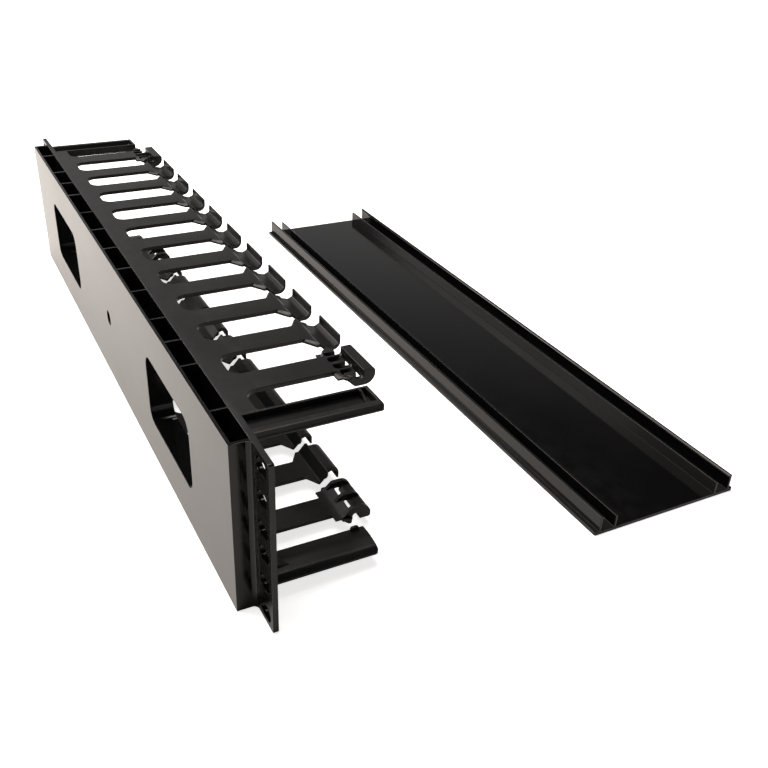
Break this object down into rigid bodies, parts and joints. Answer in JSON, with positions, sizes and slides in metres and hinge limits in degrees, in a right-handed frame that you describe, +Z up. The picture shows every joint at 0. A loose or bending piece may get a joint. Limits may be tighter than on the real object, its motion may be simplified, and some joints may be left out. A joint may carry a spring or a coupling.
{
  "type": "horizontal cable management panel",
  "caption": "Two-unit rack cable manager with a ribbed back box, slotted finger combs above and below the duct, and a clip-on hinged cover lying beside it.",
  "frame": {"origin": "centre of the plane in which the rear faces of the two ears bear on the rack rails, at mid height", "axes": "+X along the rack width, to the right as seen from the room; -Y out towards the room; +Z up"},
  "size_m": [0.4881, 0.2714, 0.0886],
  "materials": {
    "gloss_black": "glossy moulded black plastic",
    "satin_black": "satin moulded black plastic"
  },
  "bodies": {
    "panel": {"back_box": "gloss_black", "upper_comb_rail": "satin_black", "upper_finger_02": "satin_black", "upper_finger_03": "satin_black", "upper_finger_04": "satin_black", "upper_finger_05": "satin_black", "upper_finger_06": "satin_black", "upper_finger_07": "satin_black", "upper_finger_08": "satin_black", "upper_finger_09": "satin_black", "upper_finger_10": "satin_black", "upper_hinge_finger_left": "satin_black", "upper_hinge_finger_right": "satin_black", "upper_end_tray_left": "satin_black", "upper_end_tray_right": "satin_black", "lower_comb_rail": "satin_black", "lower_finger_02": "satin_black", "lower_finger_03": "satin_black", "lower_finger_04": "satin_black", "lower_finger_05": "satin_black", "lower_finger_06": "satin_black", "lower_finger_07": "satin_black", "lower_finger_08": "satin_black", "lower_finger_09": "satin_black", "lower_finger_10": "satin_black", "lower_hinge_finger_left": "satin_black", "lower_hinge_finger_right": "satin_black", "lower_end_tray_left": "satin_black", "lower_end_tray_right": "satin_black"},
    "cover": {"cover": "gloss_black"}
  },
  "joints": [
    {"name": "cover_swing", "type": "hinge", "parent": "panel", "child": "cover", "pos_m": [0, -0.12668, -0.08647], "axis": [-1, 0, 0], "range_deg": [0, 90]}
  ]
}
